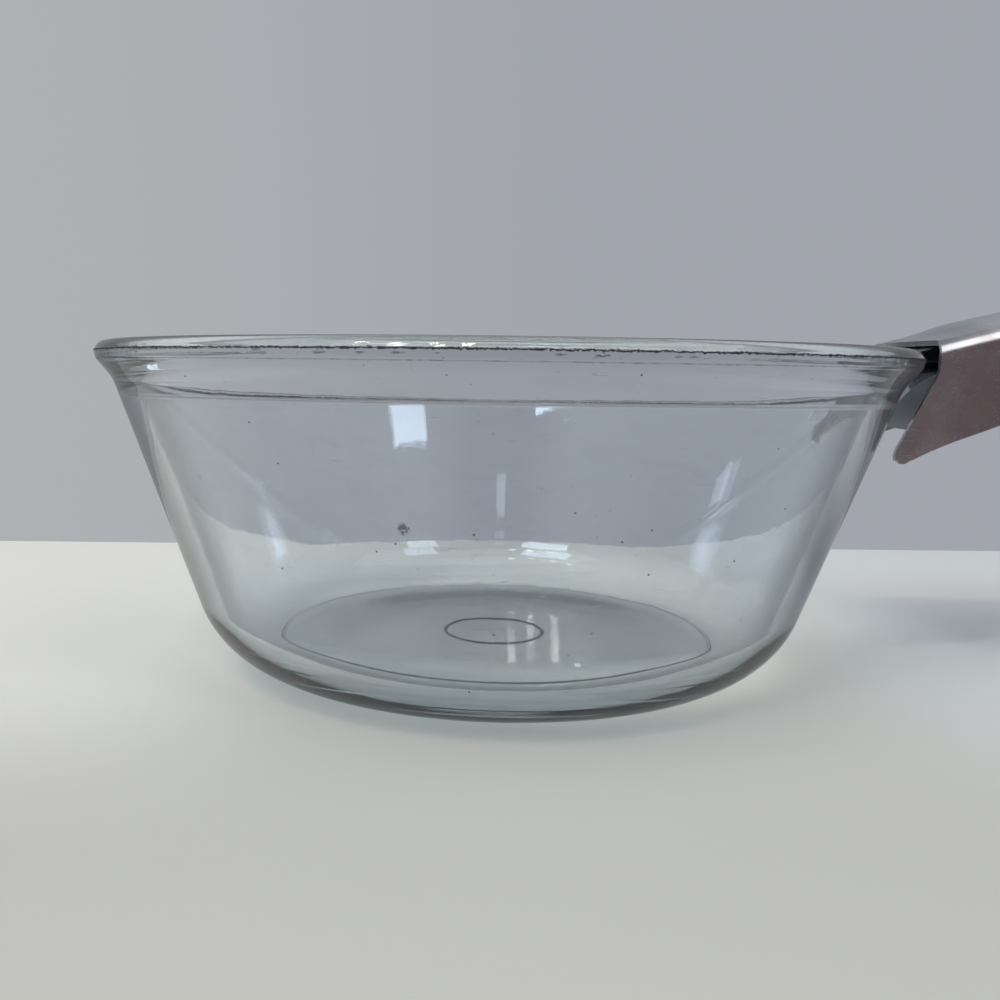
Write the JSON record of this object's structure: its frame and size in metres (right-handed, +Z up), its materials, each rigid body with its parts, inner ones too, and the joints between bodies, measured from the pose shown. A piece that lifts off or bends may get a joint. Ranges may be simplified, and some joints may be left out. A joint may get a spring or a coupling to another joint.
{
  "type": "glass saucepan",
  "caption": "Round flared glass saucepan with a rim bead and lid ledge, and a detachable sheet-steel handle whose sprung lower jaw clamps a glass lug at the rim.",
  "frame": {"origin": "centre of the pan's flat underside, on the axis of the pan", "axes": "+Z up along the axis of the pan, +X along the handle, away from the pan"},
  "size_m": [0.3291, 0.184, 0.1016],
  "materials": {
    "tinted_glass": "clear pressed glass with a pale blue-grey tint, worn and lightly scratched",
    "plated_steel": "polished plated sheet steel, finely scratched",
    "dull_steel": "dull unpolished sheet steel",
    "rivet_steel": "plated rivet",
    "spring_steel": "blued spring steel"
  },
  "bodies": {
    "pan": {"glass_bowl": "tinted_glass"},
    "handle": {"handle_shell": "plated_steel", "pivot_pin": "rivet_steel", "pivot_sleeve": "dull_steel", "leaf_spring": "spring_steel", "spring_rivet": "rivet_steel"},
    "lever": {"clamp_lever": "dull_steel"}
  },
  "joints": [
    {"name": "handle_slide", "type": "slide", "parent": "pan", "child": "handle", "axis": [0.9678, 0, 0.2516], "range_m": [0, 0.05]},
    {"name": "lever_hinge", "type": "hinge", "parent": "handle", "child": "lever", "pos_m": [0.1186, 0, 0.0713], "axis": [0, -1, 0], "range_deg": [0, 9], "stiffness_Nm_per_rad": 0.8, "springref_deg": -11.46, "deforming": ["leaf_spring"]}
  ]
}
